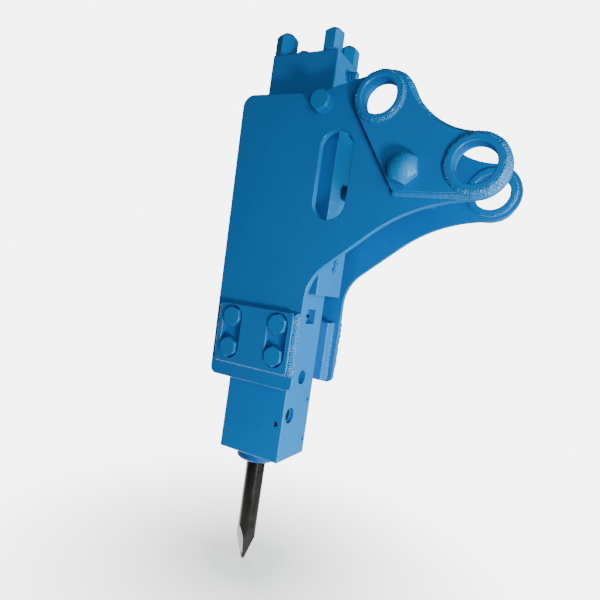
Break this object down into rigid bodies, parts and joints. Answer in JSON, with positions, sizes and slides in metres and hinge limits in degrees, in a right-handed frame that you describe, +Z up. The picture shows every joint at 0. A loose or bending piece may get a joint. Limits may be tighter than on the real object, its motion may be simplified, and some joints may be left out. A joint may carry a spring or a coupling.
{
  "type": "hydraulic breaker hammer",
  "caption": "Side-plate hydraulic breaker hammer with moil-point chisel, welded bracket with two pin ears, bolted heads and internal piston and valve",
  "frame": {"origin": "centre of the arm pin bore, halfway between the two ears", "axes": "+Z up along the tool axis, away from the chisel point; +X from the tool axis towards the carrier; +Y along the pin bores, the carrier's left"},
  "size_m": [0.8203, 0.428, 1.72],
  "materials": {
    "bracket_paint": "mid-blue gloss enamel over rolled steel plate",
    "body_paint": "mid-blue gloss enamel over machined steel blocks",
    "fastener_paint": "mid-blue enamel over forged fasteners and fittings",
    "tool_steel": "dark heat-treated tool steel, turned",
    "ground_steel": "ground and honed",
    "pin_steel": "hardened, oiled",
    "seal_rubber": "smooth nitrile and polyurethane"
  },
  "bodies": {
    "hammer_body": {"arm_pin_boss_left": "bracket_paint", "arm_pin_boss_right": "bracket_paint", "back_head": "body_paint", "clamp_pad_left": "bracket_paint", "clamp_pad_right": "bracket_paint", "cross_bolt": "fastener_paint", "cross_bolt_nut": "fastener_paint", "cross_tube": "bracket_paint", "cylinder": "body_paint", "cylinder_plugs": "fastener_paint", "ear_doubler_left": "bracket_paint", "ear_doubler_right": "bracket_paint", "front_head": "body_paint", "front_head_seal": "seal_rubber", "gas_chamber_seal": "seal_rubber", "gas_valve": "fastener_paint", "gas_valve_cap": "fastener_paint", "grease_nipple": "pin_steel", "link_pin_boss_left": "bracket_paint", "link_pin_boss_right": "bracket_paint", "lower_bush_pin": "pin_steel", "lower_piston_seals": "seal_rubber", "lower_side_bolts_left": "fastener_paint", "lower_side_bolts_right": "fastener_paint", "lower_side_washers_left": "fastener_paint", "lower_side_washers_right": "fastener_paint", "lower_spacer_left": "bracket_paint", "lower_spacer_right": "bracket_paint", "lower_tool_bush": "body_paint", "pressure_port_adapter": "fastener_paint", "retaining_pin": "pin_steel", "retaining_pin_stop": "pin_steel", "return_port_adapter": "fastener_paint", "seal_bush": "ground_steel", "seal_carrier": "ground_steel", "side_plate_left": "bracket_paint", "side_plate_right": "bracket_paint", "through_bolt_nuts": "fastener_paint", "through_bolt_washers": "fastener_paint", "through_bolts": "pin_steel", "thrust_ring": "pin_steel", "tool_dust_seal": "seal_rubber", "upper_bush_lock_plug": "fastener_paint", "upper_bush_pin": "pin_steel", "upper_piston_seals": "seal_rubber", "upper_side_bolt_left": "fastener_paint", "upper_side_bolt_right": "fastener_paint", "upper_side_washer_left": "fastener_paint", "upper_side_washer_right": "fastener_paint", "upper_spacer_left": "bracket_paint", "upper_spacer_right": "bracket_paint", "upper_tool_bush": "pin_steel", "valve_plug": "ground_steel", "valve_sleeve": "ground_steel"},
    "tool": {"chisel": "tool_steel"},
    "piston_body": {"piston": "ground_steel"},
    "spool_body": {"valve_spool": "ground_steel"}
  },
  "joints": [
    {"name": "tool_slide", "type": "slide", "parent": "hammer_body", "child": "tool", "axis": [0, 0, 1], "range_m": [0, 0.055]},
    {"name": "piston_stroke", "type": "slide", "parent": "hammer_body", "child": "piston_body", "axis": [0, 0, 1], "range_m": [0, 0.06]},
    {"name": "valve_spool_shift", "type": "slide", "parent": "hammer_body", "child": "spool_body", "axis": [0, 0, 1], "range_m": [0, 0.02]}
  ]
}
